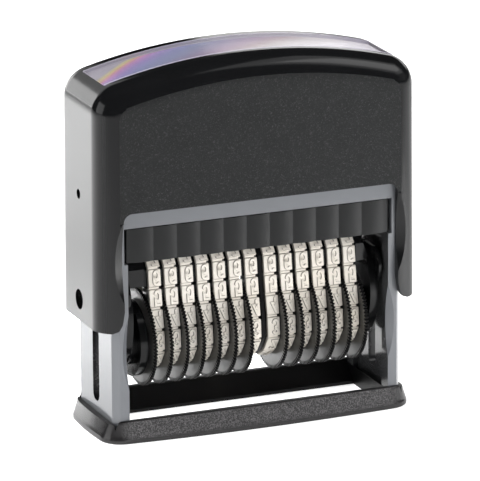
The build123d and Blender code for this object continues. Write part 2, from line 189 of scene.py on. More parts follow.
class Mat:
    """Small helper round a node tree with one Principled shader, in object coordinates."""

    def __init__(self, name):
        self.mat = bpy.data.materials.new(name)
        self.mat.use_nodes = True
        self.t = self.mat.node_tree
        self.bsdf = next(n for n in self.t.nodes if n.type == "BSDF_PRINCIPLED")
        self.coord = self.t.nodes.new("ShaderNodeTexCoord")
        self.pos = self.coord.outputs["Object"]

    def node(self, kind, **props):
        n = self.t.nodes.new(kind)
        for k, val in props.items():
            setattr(n, k, val)
        return n

    def link(self, a, b):
        self.t.links.new(a, b)

    def set(self, **values):
        for k, val in values.items():
            self.bsdf.inputs[k.replace("_", " ")].default_value = val

    def scaled(self, sx, sy, sz, rot=(0, 0, 0), loc=(0, 0, 0)):
        m = self.node("ShaderNodeMapping")
        m.inputs["Scale"].default_value = (sx, sy, sz)
        m.inputs["Rotation"].default_value = rot
        m.inputs["Location"].default_value = loc
        self.link(self.pos, m.inputs["Vector"])
        return m.outputs["Vector"]

    def noise(self, scale, detail=3.0, rough=0.55, vec=None, distortion=0.0):
        n = self.node("ShaderNodeTexNoise")
        n.inputs["Scale"].default_value = scale
        n.inputs["Detail"].default_value = detail
        n.inputs["Roughness"].default_value = rough
        n.inputs["Distortion"].default_value = distortion
        self.link(vec or self.pos, n.inputs["Vector"])
        return n.outputs["Fac"]

    def voronoi(self, scale, feature="F1", vec=None, out="Distance", randomness=1.0):
        n = self.node("ShaderNodeTexVoronoi", feature=feature)
        n.inputs["Scale"].default_value = scale
        n.inputs["Randomness"].default_value = randomness
        self.link(vec or self.pos, n.inputs["Vector"])
        return n.outputs[out]

    def ramp(self, fac, stops, interpolation="LINEAR"):
        n = self.node("ShaderNodeValToRGB")
        cr = n.color_ramp
        cr.interpolation = interpolation
        while len(cr.elements) > 1:
            cr.elements.remove(cr.elements[-1])
        cr.elements[0].position, cr.elements[0].color = stops[0]
        for p, c in stops[1:]:
            e = cr.elements.new(p)
            e.color = c
        self.link(fac, n.inputs["Fac"])
        return n.outputs["Color"]

    def remap(self, val, a, b, c, d):
        n = self.node("ShaderNodeMapRange")
        for i, x in zip(("From Min", "From Max", "To Min", "To Max"), (a, b, c, d)):
            n.inputs[i].default_value = x
        self.link(val, n.inputs["Value"])
        return n.outputs["Result"]

    def math(self, op, a, b=None):
        n = self.node("ShaderNodeMath", operation=op)
        for i, x in enumerate((a, b)):
            if x is None:
                continue
            if isinstance(x, (int, float)):
                n.inputs[i].default_value = x
            else:
                self.link(x, n.inputs[i])
        return n.outputs[0]

    def mix(self, fac, a, b, blend="MIX"):
        n = self.node("ShaderNodeMix", data_type="RGBA", blend_type=blend)
        for sock, x in ((n.inputs[0], fac), (n.inputs[6], a), (n.inputs[7], b)):
            if isinstance(x, (int, float)):
                sock.default_value = x
            elif isinstance(x, tuple):
                sock.default_value = x
            else:
                self.link(x, sock)
        return n.outputs[2]

    def bump(self, height, strength, distance, base=None):
        n = self.node("ShaderNodeBump")
        n.inputs["Strength"].default_value = strength
        n.inputs["Distance"].default_value = distance
        self.link(height, n.inputs["Height"])
        if base is not None:
            self.link(base, n.inputs["Normal"])
        return n.outputs["Normal"]

    def normal_component(self, axis):
        g = self.node("ShaderNodeNewGeometry")
        s = self.node("ShaderNodeSeparateXYZ")
        self.link(g.outputs["Normal"], s.inputs[0])
        return s.outputs[axis]

    def xyz(self, axis):
        s = self.node("ShaderNodeSeparateXYZ")
        self.link(self.pos, s.inputs[0])
        return s.outputs[axis]

    def color(self, sock):
        self.link(sock, self.bsdf.inputs["Base Color"])

    def rough(self, sock):
        self.link(sock, self.bsdf.inputs["Roughness"])

    def normal(self, sock):
        self.link(sock, self.bsdf.inputs["Normal"])


def scale_color(c, k):
    return (min(c[0] * k, 1), min(c[1] * k, 1), min(c[2] * k, 1), 1.0)


def moulded(name, color, rough=0.15, rough_var=0.05, tone=0.08, grain=0.0, grain_scale=3500.0, ior=1.46,
            spec=0.5, swirl=70.0):
    """Moulded plastic: slow tone change, slightly uneven polish, faint handling haze and optional fine grain."""
    m = Mat(name)
    slow = m.noise(swirl, 3.0, 0.5)
    fine = m.noise(900.0, 2.0, 0.6)
    m.color(m.ramp(slow, [(0.3, scale_color(color, 1 - tone)), (0.7, scale_color(color, 1 + tone))]))
    haze = m.math("MULTIPLY", m.remap(m.noise(160.0, 4.0, 0.6), 0.45, 0.75, 0.0, 1.0), rough_var)
    m.rough(m.math("ADD", m.math("ADD", m.remap(fine, 0.3, 0.7, -rough_var * 0.3, rough_var * 0.3), haze), rough))
    if grain > 0:
        m.normal(m.bump(m.noise(grain_scale, 2.0, 0.6), grain, 0.00003))
    else:
        m.normal(m.bump(m.noise(60.0, 2.0, 0.4), 0.05, 0.0001))
    m.set(IOR=ior, Specular_IOR_Level=spec)
    return m


def speckled(name, color, spark, rough=0.5, scale=5200.0, bump=0.5, density=0.66, spec=0.4):
    """Spark-eroded texture: fine grain with scattered lighter grains, a dull sheen."""
    m = Mat(name)
    g1 = m.noise(scale, 2.0, 0.7)
    g2 = m.noise(scale * 0.43, 2.0, 0.7)
    base = m.ramp(m.noise(240.0, 4.0, 0.6), [(0.3, scale_color(color, 0.88)), (0.7, scale_color(color, 1.12))])
    dots = m.ramp(g1, [(density, (0, 0, 0, 1)), (min(density + 0.12, 1.0), (1, 1, 1, 1))])
    grains = m.ramp(g2, [(0.60, (0, 0, 0, 1)), (0.78, (0.55, 0.55, 0.55, 1))])
    both = m.mix(1.0, dots, grains, "LIGHTEN")
    m.color(m.mix(both, base, spark))
    m.rough(m.remap(g1, 0.3, 0.75, rough + 0.12, rough - 0.1))
    m.normal(m.bump(g2, bump, 0.00006, m.bump(g1, bump, 0.00004)))
    m.set(IOR=1.46, Specular_IOR_Level=spec)
    return m


BLACK = (0.0055, 0.0057, 0.0062, 1.0)
gloss_black = moulded("cap_gloss_black", BLACK, rough=0.12, rough_var=0.04, tone=0.12, spec=0.31)
panel_black = speckled("cap_textured_panel", (0.0090, 0.0095, 0.0098, 1), (0.076, 0.078, 0.078, 1),
                       rough=0.56, scale=5200.0, bump=0.42, density=0.62, spec=0.30)
inner_black = moulded("cap_inside_black", (0.007, 0.0072, 0.0077, 1), rough=0.38, rough_var=0.08, tone=0.1,
                      grain=0.15, spec=0.35)
frame_grey = moulded("frame_satin_grey", srgb(103, 105, 109), rough=0.15, rough_var=0.025, tone=0.03,
                     grain=0.04, grain_scale=2600.0, spec=0.5, swirl=45.0)
# painted shade: the frame's grey darkened to near black on the guide-slot walls
frame_slot = moulded("frame_slot_shadow_grey", (0.012, 0.0125, 0.0135, 1), rough=0.24, rough_var=0.05, tone=0.12,
                     grain=0.05, grain_scale=2600.0, spec=0.5, swirl=45.0)
# painted shade: the frame's grey darkened on the legs' inner channel walls, standing for their shade and the black unit
# they mirror
frame_channel_shade = moulded("frame_channel_painted_shade", (0.045, 0.046, 0.048, 1), rough=0.13, rough_var=0.03, tone=0.06, spec=0.5,
                      swirl=45.0)


def base_material():
    """Charcoal foot: fine spark-eroded texture on the sloping front and rear, fading out towards polished ends."""
    m = Mat("base_charcoal")
    ax, ay = m.math("ABSOLUTE", m.xyz(0)), m.math("ABSOLUTE", m.xyz(1))
    mask = m.math("MULTIPLY", m.remap(ax, 0.0290, 0.0318, 1.0, 0.0), m.remap(ay, 0.0112, 0.0116, 0.0, 1.0))
    mask = m.math("MULTIPLY", mask, m.remap(m.math("ABSOLUTE", m.normal_component(1)), 0.80, 0.92, 0.0, 1.0))
    mask = m.math("MULTIPLY", mask, m.remap(m.xyz(2), 0.0009, 0.0013, 0.0, 1.0))
    g1, g2 = m.noise(3900.0, 2.0, 0.75), m.noise(2500.0, 2.0, 0.7)
    slow = m.noise(240.0, 4.0, 0.6)
    plain = m.ramp(slow, [(0.3, (0.017, 0.0162, 0.0168, 1)), (0.7, (0.021, 0.020, 0.0208, 1))])
    grain = m.ramp(slow, [(0.3, (0.022, 0.0215, 0.022, 1)), (0.7, (0.030, 0.029, 0.030, 1))])
    dots = m.ramp(g1, [(0.50, (0, 0, 0, 1)), (0.62, (1, 1, 1, 1))])
    more = m.ramp(g2, [(0.52, (0, 0, 0, 1)), (0.66, (0.8, 0.8, 0.8, 1))])
    both = m.mix(1.0, dots, more, "LIGHTEN")
    base = m.mix(mask, plain, grain)
    m.color(m.mix(m.math("MULTIPLY", both, mask), base, (0.125, 0.121, 0.124, 1)))
    smooth = m.remap(m.noise(160.0, 4.0, 0.6), 0.4, 0.75, 0.15, 0.20)
    m.rough(m.math("ADD", smooth, m.math("MULTIPLY", mask, m.remap(g1, 0.3, 0.75, 0.42, 0.24))))
    b1 = m.node("ShaderNodeBump")
    b1.inputs["Distance"].default_value = 0.00005
    m.link(m.math("MULTIPLY", mask, 0.55), b1.inputs["Strength"])
    m.link(g1, b1.inputs["Height"])
    m.normal(m.bump(m.noise(60.0, 2.0, 0.4), 0.05, 0.0001, b1.outputs["Normal"]))
    m.set(IOR=1.46, Specular_IOR_Level=0.42)
    return m


base_mat = base_material()
# painted shade: the foot's inner walls and top faces darker and duller than its outside
base_inside_shade = moulded("base_inside_painted_shade", (0.004, 0.004, 0.0042, 1), rough=0.34, rough_var=0.05, tone=0.12,
                     grain=0.05, spec=0.18)
tray_mat = moulded("tray_charcoal", (0.0085, 0.0090, 0.0093, 1), rough=0.25, rough_var=0.02, tone=0.06,
                   grain=0.03, spec=0.27)
unit_black = moulded("unit_gloss_black", (0.0045, 0.0047, 0.005, 1), rough=0.15, rough_var=0.05, tone=0.12, spec=0.28)
divider_black = moulded("divider_satin_black", (0.0035, 0.0035, 0.0037, 1), rough=0.36, rough_var=0.06, tone=0.12,
                        grain=0.08, spec=0.18)
# painted reflection: the disc faces' black is lifted and warmed towards the off-white rubber bands they mirror
wheel_black = moulded("wheel_satin_black_painted_reflection", (0.030, 0.030, 0.0275, 1), rough=0.31, rough_var=0.08, tone=0.10,
                      grain=0.22, grain_scale=3000.0, spec=0.65)
teeth_black = moulded("wheel_teeth_black", (0.0045, 0.0045, 0.0045, 1), rough=0.42, rough_var=0.05, tone=0.1,
                      spec=0.18)


def rubber_material(name, k):
    """Off-white moulded rubber, a little mottled; k darkens it as painted shade for the web, the plates' feet and the
    numerals' flanks.
    """
    m = Mat(name)
    slow = m.noise(110.0, 3.0, 0.55)
    c = m.ramp(slow, [(0.28, scale_color(srgb(221, 214, 202), k)), (0.72, scale_color(srgb(235, 230, 222), k))])
    fine = m.noise(1500.0, 3.0, 0.6)
    c = m.mix(m.remap(fine, 0.35, 0.7, 0.0, 0.14), c, scale_color(srgb(198, 189, 174), k))
    m.color(c)
    m.rough(m.remap(fine, 0.3, 0.7, 0.40, 0.54))
    m.normal(m.bump(m.noise(2600.0, 3.0, 0.6), 0.10, 0.00003))
    m.set(IOR=1.5, Specular_IOR_Level=0.4)
    return m


rubber = rubber_material("band_rubber_offwhite", 1.0)
# painted shade: the same rubber at half brightness
rubber_painted_shade = rubber_material("band_rubber_painted_shade", 0.50)


def steel_material(name, along, scale=1800.0):
    m = Mat(name)
    s = [scale, scale, scale]
    s["xyz".index(along)] = scale * 0.03
    streak = m.noise(1.0, 3.0, 0.6, vec=m.scaled(*s))
    m.color(m.ramp(streak, [(0.3, (0.40, 0.40, 0.41, 1)), (0.7, (0.60, 0.60, 0.61, 1))]))
    m.rough(m.remap(streak, 0.3, 0.7, 0.22, 0.36))
    m.normal(m.bump(streak, 0.12, 0.00002))
    m.set(Metallic=1.0)
    return m


spring_steel = steel_material("spring_wire_steel", "z")
axle_steel = steel_material("axle_ground_steel", "x")


def foam_material():
    m = Mat("ink_soaked_foam")
    cells = m.voronoi(1500.0)
    c = m.ramp(cells, [(0.0, (0.004, 0.004, 0.009, 1)), (0.5, (0.022, 0.022, 0.036, 1))])
    m.color(c)
    m.rough(m.remap(cells, 0.0, 0.6, 0.75, 0.4))
    m.normal(m.bump(cells, 0.8, 0.0002, m.bump(m.noise(700.0, 3.0, 0.6), 0.5, 0.0002)))
    m.set(Specular_IOR_Level=0.4)
    return m


ink_foam = foam_material()


def card_material():
    """Card, near white, its colour carrying painted light: the clear cover's slanting rainbow sheen with lavender and
    blue drifts towards the left end, darker through the middle and brightest at the right end.
    """
    m = Mat("index_card_painted_sheen")
    x, y = m.xyz(0), m.xyz(1)
    wob = m.noise(38.0, 2.0, 0.5)
    s = m.math("ADD", m.math("ADD", m.math("MULTIPLY", x, 1000.0), m.math("MULTIPLY", y, -1500.0)),
               m.remap(wob, 0.0, 1.0, -3.0, 3.0))
    f = m.remap(s, -42.0, 42.0, 0.0, 1.0)
    # k per stop is painted light: darker through the middle, full brightness at the right end
    m.color(m.ramp(f, [(p, scale_color(srgb(*c), k)) for p, k, c in (
        (0.00, 0.60, (196, 190, 204)), (0.11, 0.60, (194, 187, 200)), (0.138, 0.66, (238, 218, 116)),
        (0.156, 0.64, (244, 164, 150)), (0.178, 0.60, (222, 126, 226)), (0.215, 0.55, (172, 134, 238)),
        (0.27, 0.46, (142, 154, 240)), (0.33, 0.42, (146, 166, 234)), (0.40, 0.38, (176, 156, 226)),
        (0.49, 0.38, (220, 166, 220)), (0.56, 0.48, (234, 198, 200)), (0.63, 0.76, (232, 223, 220)),
        (0.75, 1.00, (240, 237, 240)), (0.88, 1.00, (238, 233, 240)), (1.00, 1.00, (238, 234, 240)))]))
    m.rough(m.remap(m.noise(1200.0, 2.0, 0.5), 0.3, 0.7, 0.38, 0.5))
    m.normal(m.bump(m.noise(1400.0, 2.0, 0.5), 0.1, 0.00002))
    m.set(Specular_IOR_Level=0.5)
    return m


def cover_material():
    m = Mat("index_cover_clear")
    f = m.node("ShaderNodeLayerWeight")
    f.inputs["Blend"].default_value = 0.35
    lo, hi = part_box("index_card")
    rim = m.remap(m.math("ABSOLUTE", m.xyz(1)), hi[1] - 0.0006, hi[1] - 0.0001, 0.0, 1.0)     # past the card's edge
    tint = m.ramp(m.noise(60.0, 3.0, 0.5), [(0.3, (0.52, 0.50, 0.58, 1)), (0.7, (0.62, 0.58, 0.62, 1))])
    m.color(m.mix(rim, tint, (0.66, 0.62, 0.74, 1)))
    alpha = m.remap(f.outputs["Facing"], 0.0, 1.0, 0.08, 0.30)
    m.link(m.math("ADD", alpha, m.math("MULTIPLY", rim, 0.42)), m.bsdf.inputs["Alpha"])
    m.rough(m.remap(m.noise(300.0, 3.0, 0.6), 0.3, 0.7, 0.12, 0.18))
    m.set(IOR=1.49, Specular_IOR_Level=0.6)
    return m


card_mat = card_material()
cover_mat = cover_material()

# ---------------------------------------------------------------------------
# dimensions shared with the CAD, in millimetres
# ---------------------------------------------------------------------------
AXLE_Z, WHEEL_R, DRUM_R, AXLE_R = 19.23, 10.41, 5.85, 1.5
BAND_PATH = [(-2.25, 38.6), (-5.05, 35.38), (-5.6, 31.1), (-6.3, 26.85),
             (-7.2, 22.3), (-7.6, 17.55), (-4.8, 13.75), (-0.95, 11.6)]
BAND_LOOP = BAND_PATH + [(-y, z) for y, z in reversed(BAND_PATH)]
BAND_T = 1.1


def inset(points, d):
    n = len(points)
    cy = sum(p[0] for p in points) / n
    cz = sum(p[1] for p in points) / n
    lines = []
    for i in range(n):
        (y0, z0), (y1, z1) = points[i], points[(i + 1) % n]
        ny, nz = z1 - z0, -(y1 - y0)
        k = math.hypot(ny, nz)
        ny, nz = ny / k, nz / k
        if (cy - y0) * ny + (cz - z0) * nz < 0:
            ny, nz = -ny, -nz
        lines.append((ny, nz, ny * y0 + nz * z0 + d))
    out = []
    for i in range(n):
        a, b = lines[i - 1], lines[i]
        det = a[0] * b[1] - a[1] * b[0]
        out.append(((a[2] * b[1] - b[2] * a[1]) / det, (a[0] * b[2] - b[0] * a[2]) / det))
    return out


def node_span(node):
    lo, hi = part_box(node)
    return Vector(lo) / MM, Vector(hi) / MM


# ---------------------------------------------------------------------------
# setting wheels: toothed rim, recessed web, hub drum
# ---------------------------------------------------------------------------
TEETH, ROOT_R = 84, 9.72


def tooth_ring(x, r_tip, r_root):
    pts = []
    step = 2 * math.pi / TEETH
    for i in range(TEETH):
        for frac, r in ((0.0, r_root), (0.20, r_root), (0.32, r_tip), (0.68, r_tip), (0.80, r_root)):
            a = (i + frac) * step
            pts.append((x, r * math.sin(a), AXLE_Z + r * math.cos(a)))
    return pts


def angle_ring(x, r):
    """Ring with the same vertex angles as tooth_ring."""
    return tooth_ring(x, r, r)


def wheel(index, w0, w1, b0, b1, left_group):
    """w0..w1 is the toothed disc, and the drum reaches to the far side of the band."""
    s = 1 if left_group else -1
    xa = w0 if left_group else w1            # outer face of the disc, away from its band
    xb = w1 if left_group else w0            # face towards its band
    xe = b1 if left_group else b0            # end of the drum
    ch = 0.09
    rings = [
        angle_ring(xa, AXLE_R + 0.06), angle_ring(xa, 2.7), angle_ring(xa + s * 0.10, 2.85),
        angle_ring(xa + s * 0.10, 3.9), angle_ring(xa, 4.05), angle_ring(xa, 9.25),
        tooth_ring(xa, WHEEL_R - ch * 1.2, ROOT_R - ch), tooth_ring(xa + s * ch, WHEEL_R, ROOT_R),
        tooth_ring(xb - s * ch, WHEEL_R, ROOT_R), tooth_ring(xb, WHEEL_R - ch * 1.2, ROOT_R - ch),
        angle_ring(xb, DRUM_R + 0.08), angle_ring(xb + s * 0.08, DRUM_R), angle_ring(xe - s * 0.12, DRUM_R),
        angle_ring(xe, DRUM_R - 0.12), angle_ring(xe, AXLE_R + 0.06)]
    n = len(rings[0])
    v = [p for r in rings for p in r]
    f = []
    for k in range(len(rings)):
        f += ring_faces(k * n, ((k + 1) % len(rings)) * n, n)
    # the toothed rim is duller than the disc's faces
    rim = [1 if 6 * n <= i < 9 * n else 0 for i in range(len(f))]
    return finish_mesh(f"setting_wheel_{index:02d}", v, f, f"wheel_{index:02d}", [wheel_black, teeth_black],
                       face_mats=rim, smooth=32, weighted=True, replace=f"number_wheel_{index:02d}",
                       slot="wheel_black")


# ---------------------------------------------------------------------------
# raised mirrored numerals
# ---------------------------------------------------------------------------
def arc(cx, cy, r, a0, a1, n=12, ry=None):
    ry = r if ry is None else ry
    return [(cx + r * math.cos(math.radians(a0 + (a1 - a0) * i / n)),
             cy + ry * math.sin(math.radians(a0 + (a1 - a0) * i / n))) for i in range(n + 1)]


# strokes in a 1.0 x 2.9 box centred on 0,0: x to the right and y up as the numeral is read
HW, HH = 0.5, 1.45


def digit_strokes(d):
    r = HW
    if d == "0":
        return [(arc(0, HH - r, r, 0, 180) + arc(0, -HH + r, r, 180, 360), True)]
    if d == "1":
        return [([(-0.32, HH - 0.5), (0.1, HH), (0.1, -HH)], False)]
    if d == "2":
        return [(arc(0, HH - r, r, 170, -20, 14) + [(-HW + 0.02, -HH + 0.25), (-HW, -HH), (HW, -HH)], False)]
    if d == "3":
        return [(arc(0, HH - r, r, 160, -90, 16), False), (arc(0, -HH + 0.95 * r + 0.25, r, 90, -160, 16, 0.72), False)]
    if d == "4":
        return [([(0.22, HH), (-HW, -0.45), (HW, -0.45)], False), ([(0.22, 0.25), (0.22, -HH)], False)]
    if d == "5":
        return [([(HW - 0.04, HH), (-HW + 0.06, HH), (-HW + 0.02, 0.2)] + arc(0, -0.45, r, 130, -150, 18, 1.0), False)]
    if d == "6":
        return [(arc(0, -HH + 0.85, r, 0, 360, 26, 0.85)[:-1], True),
                (arc(0, HH - 0.62, r, 35, 180, 10, 0.62) + [(-HW, -0.6)], False)]
    if d == "7":
        return [([(-HW, HH), (HW, HH), (-0.1, -HH)], False)]
    if d == "8":
        return [(arc(0, HH - 0.68, r * 0.94, 0, 360, 24, 0.68)[:-1], True),
                (arc(0, -HH + 0.77, r, 0, 360, 26, 0.77)[:-1], True)]
    if d == "9":
        return [([(-x, -y) for x, y in st], c) for st, c in digit_strokes("6")]
    if d == "-":
        return [([(-0.36, 0), (0.36, 0)], False)]
    if d == "/":
        return [([(-0.38, -HH + 0.25), (0.38, HH - 0.25)], False)]
    if d == ".":
        return [([(-0.06, -HH + 0.15), (0.06, -HH + 0.15)], False)]
    return []


def ridge(pts, closed, half_top, half_base, z0, z1):
    """Raised stroke along a line: flat top, sloping flanks, rounded ends. Local (u, v, w) coordinates."""
    p = np.array(pts, float)
    n = len(p)
    verts, faces = [], []
    if closed:
        prev, nxt = np.roll(p, 1, 0), np.roll(p, -1, 0)
    else:
        prev = np.vstack([p[0] - (p[1] - p[0]), p[:-1]])
        nxt = np.vstack([p[1:], p[-1] + (p[-1] - p[-2])])
    t0 = (p - prev) / np.linalg.norm(p - prev, axis=1)[:, None]
    t1 = (nxt - p) / np.linalg.norm(nxt - p, axis=1)[:, None]
    t = t0 + t1
    t /= np.linalg.norm(t, axis=1)[:, None]
    nrm = np.c_[-t[:, 1], t[:, 0]]
    k = 1.0 / np.clip((nrm * np.c_[-t0[:, 1], t0[:, 0]]).sum(1), 0.62, 1)
    for i in range(n):
        for half, z in ((half_base, z0), (half_top, z1), (-half_top, z1), (-half_base, z0)):
            q = p[i] + nrm[i] * half * k[i]
            verts.append((q[0], q[1], z))
    m = n if closed else n - 1
    # tone 1 marks the flanks and underside, which take the painted-shade rubber
    tone = []
    for i in range(m):
        a, b = 4 * i, 4 * ((i + 1) % n)
        for j in range(3):
            faces.append((a + j, a + j + 1, b + j + 1, b + j))
        faces.append((a + 3, a, b, b + 3))
        tone += [1, 0, 1, 1]
    if not closed:
        for end, i, sgn in ((0, 0, -1), (1, n - 1, 1)):
            steps = 6
            tdir, ndir = t[i] * sgn, nrm[i]
            cb = len(verts)
            rows = []
            for s_ in range(1, steps):
                a = math.pi * s_ / steps
                d = ndir * math.cos(a) + tdir * math.sin(a)
                verts.append((*(p[i] + d * half_base), z0))
                verts.append((*(p[i] + d * half_top), z1))
                rows.append((cb + 2 * (s_ - 1), cb + 2 * (s_ - 1) + 1))
            base = 4 * i
            chain = [(base, base + 1)] + rows + [(base + 3, base + 2)]
            for (b0_, t0_), (b1_, t1_) in zip(chain[:-1], chain[1:]):
                faces.append((b0_, b1_, t1_, t0_))
                tone.append(1)
            faces.append(tuple(c[1] for c in chain))
            faces.append(tuple(c[0] for c in chain[::-1]))
            tone += [0, 1]
    return verts, faces, tone


# the numerals run round the loop, tops pointing along it; segment 15 is the print face
LOOP_MARKS = ["7", "6", "5", "4", "3", "2", "1", None, "0", ".", "-", "/", "", "", "9", "8"]
PLATE_H = 0.34        # plate above the belt's web
NUM_H = 0.28          # numeral above its plate


def band(index, b0, b1):
    b = Builder()
    n = len(BAND_LOOP)
    top = inset(BAND_LOOP, NUM_H)                 # plate tops; numerals reach the CAD surface
    web = inset(BAND_LOOP, NUM_H + PLATE_H)
    inn = inset(BAND_LOOP, BAND_T)
    # continuous web, rounded at its long edges
    e = 0.10
    bw = b1 - 0.42                                # the web is narrower than its plates on the right
    ring = []
    for i in range(n):
        (yw, zw), (yi, zi) = web[i], inn[i]
        ring.append([(b0 + e, yw, zw), (b0, yw + (yi - yw) * 0.3, zw + (zi - zw) * 0.3), (b0, yi, zi),
                     (bw, yi, zi), (bw, yw + (yi - yw) * 0.3, zw + (zi - zw) * 0.3), (bw - e, yw, zw)])
    v = [p for r in ring for p in r]
    f = []
    for i in range(n):
        a, c = 6 * i, 6 * ((i + 1) % n)
        for j in range(6):
            f.append((a + j, a + (j + 1) % 6, c + (j + 1) % 6, c + j))
    # the web between the plates takes the painted-shade rubber
    b.add(v, f, 1)
    for i in range(n):
        (y0, z0), (y1, z1) = top[i], top[(i + 1) % n]
        L = math.hypot(y1 - y0, z1 - z0)
        ty, tz = (y1 - y0) / L, (z1 - z0) / L
        ny, nz = tz, -ty
        cy, cz = 0.0, 25.0
        if (y0 - cy) * ny + (z0 - cz) * nz < 0:
            ny, nz = -ny, -nz

        def at(u, vv, w):
            """u across the band, vv along it, w outwards from the plate top."""
            return (b0 + u, y0 + ty * vv + ny * w, z0 + tz * vv + nz * w)

        W = b1 - b0
        if L < 2.5:
            continue
        g = 0.36
        # plate: draft on all sides, a rounded top edge
        def rect(u0, u1, v0, v1, w, c):
            return [at(u0 + c, v0, w), at(u1 - c, v0, w), at(u1, v0 + c, w), at(u1, v1 - c, w),
                    at(u1 - c, v1, w), at(u0 + c, v1, w), at(u0, v1 - c, w), at(u0, v0 + c, w)]

        levels = [rect(0.02, W - 0.02, g - 0.10, L - g + 0.10, -PLATE_H - 0.06, 0.12),
                  rect(0.02, W - 0.02, g - 0.02, L - g + 0.02, -0.16, 0.12),
                  rect(0.08, W - 0.08, g + 0.02, L - g - 0.02, -0.05, 0.12),
                  rect(0.20, W - 0.20, g + 0.09, L - g - 0.09, 0.0, 0.10)]
        m = 8
        v = [p for r in levels for p in r]
        f = [tuple(range(m))[::-1], tuple(range(3 * m, 4 * m))]
        for k in range(3):
            f += [(k * m + j, k * m + (j + 1) % m, (k + 1) * m + (j + 1) % m, (k + 1) * m + j) for j in range(m)]
        b.add(v, f)
        # the foot of each plate takes the painted-shade rubber
        b.m[-3 * m:-2 * m] = [1] * m              # foot of the plate: groove tone
        # rib across the web at each joint
        rb = [at(0.05, -0.23, -PLATE_H - 0.05), at(W - 0.52, -0.23, -PLATE_H - 0.05),
              at(W - 0.52, 0.23, -PLATE_H - 0.05), at(0.05, 0.23, -PLATE_H - 0.05)]
        rt = [at(0.10, -0.15, -PLATE_H + 0.15), at(W - 0.57, -0.15, -PLATE_H + 0.15),
              at(W - 0.57, 0.15, -PLATE_H + 0.15), at(0.10, 0.15, -PLATE_H + 0.15)]
        b.prism(rb, rt)
        # numeral: flat top, flanks in painted shade
        for st, closed in digit_strokes(LOOP_MARKS[i] or ""):
            k = min(1.0, (L - 2 * g - 0.72) / 2.9)
            pts = [(0.5 * W + 0.30 + x * 1.06, 0.5 * L + y * k) for x, y in st]
            rv, rf, rm = ridge(pts, closed, 0.235, 0.335, -0.02, NUM_H)
            b.add([at(*p) for p in rv], rf)
            b.m[-len(rf):] = rm
    return finish_mesh(f"numeral_band_{index:02d}", b.v, b.f, "print_unit", [rubber, rubber_painted_shade], face_mats=b.m,
                       smooth=30, weighted=True, replace=f"number_band_{index:02d}", slot="band_rubber")


for i in range(1, 14):
    wl, wh = node_span(f"number_wheel_{i:02d}")
    bl, bh = node_span(f"number_band_{i:02d}")
    left_group = bl.x > wl.x + 0.5
    if left_group:
        w0, w1 = wl.x, wl.x + 0.72
    else:
        w0, w1 = wh.x - 0.72, wh.x
    wheel(i, w0, w1, bl.x, bh.x, left_group)
    band(i, bl.x, bh.x)

# ---------------------------------------------------------------------------
# print unit plates, platen, divider, axle
# ---------------------------------------------------------------------------
cad_piece("side_plate_left", "unit_plate_left", "print_unit", unit_black, slot="black_unit", bevel=0.28, segments=3)
cad_piece("side_plate_right", "unit_plate_right", "print_unit", unit_black, slot="black_unit", bevel=0.28, segments=3)
cad_piece("centre_divider", "unit_divider", "print_unit", divider_black, slot="black_unit", bevel=0.18, segments=3)
cad_piece("platen_bar", "print_platen", "print_unit", unit_black, slot="black_unit", bevel=0.2)
cad_piece("wheel_axle", "wheel_axle_rod", "print_unit", axle_steel, slot="axle_steel", bevel=0.25, segments=3)

# ---------------------------------------------------------------------------
# frame, base foot, cap, tray
# ---------------------------------------------------------------------------
def frame_pick(c, n):
    """1: walls of the legs' guide slots, painted near black as shade. 2: the legs' inner channels, painted dark as
    shade and as the black unit's reflection.
    """
    if abs(c.x) > 30.3 and abs(c.y) < 1.95 and 5.9 < c.z < 31.5 and abs(n.x) < 0.5:
        return 1
    if abs(c.x) > 29.3 and abs(c.x) < 30.9 and abs(c.y) < 7.9 and c.z < 38.0 and c.x * n.x < 0.1:
        return 2
    return 0


cad_piece("frame", "grey_frame", "frame_body", [frame_grey, frame_slot, frame_channel_shade], pick=frame_pick,
          slot="grey_frame", bevel=0.16, segments=2, smooth=28)


# base foot: a lofted ring with well rounded corners, carved like the CAD foot
def bowed_outline(hx, hy, bx, by, r, z):
    """Rounded rectangle whose sides bow outwards by bx and by; the same number of points for any size."""
    rx = ((hy - by) ** 2 + bx ** 2) / (2 * bx)
    ry = ((hx - bx) ** 2 + by ** 2) / (2 * by)
    ca, cb = (hx - rx, 0.0), (0.0, hy - ry)
    ra, rb = rx - r, ry - r
    dx, dy = cb[0] - ca[0], cb[1] - ca[1]
    d = math.hypot(dx, dy)
    a = (ra ** 2 - rb ** 2 + d ** 2) / (2 * d)
    h = math.sqrt(ra ** 2 - a ** 2)
    mx, my = ca[0] + a * dx / d, ca[1] + a * dy / d
    p = max(((mx + h * dy / d, my - h * dx / d), (mx - h * dy / d, my + h * dx / d)), key=lambda q: q[0] + q[1])
    a0 = math.atan2(p[1] - ca[1], p[0] - ca[0])
    a1 = math.atan2(p[1] - cb[1], p[0] - cb[0])
    quad = [(ca[0] + rx * math.cos(a0 * t / 6), rx * math.sin(a0 * t / 6)) for t in range(6)]
    quad += [(p[0] + r * math.cos(a0 + (a1 - a0) * t / 14), p[1] + r * math.sin(a0 + (a1 - a0) * t / 14))
             for t in range(14)]
    quad += [(ry * math.cos(a1 + (math.pi / 2 - a1) * t / 12), cb[1] + ry * math.sin(a1 + (math.pi / 2 - a1) * t / 12))
             for t in range(13)]
    left = [(-x, y) for x, y in quad[::-1][1:]]
    half = quad + left
    lower = [(x, -y) for x, y in half[::-1][1:-1]]
    return [(x, y, z) for x, y in half + lower]


def solid(verts, faces):
    me = bpy.data.meshes.new("cutter")
    me.from_pydata([tuple(c * MM for c in v) for v in verts], [], faces)
    bm = bmesh.new()
    bm.from_mesh(me)
    bmesh.ops.recalc_face_normals(bm, faces=bm.faces)
    bm.to_mesh(me)
    bm.free()
    return me


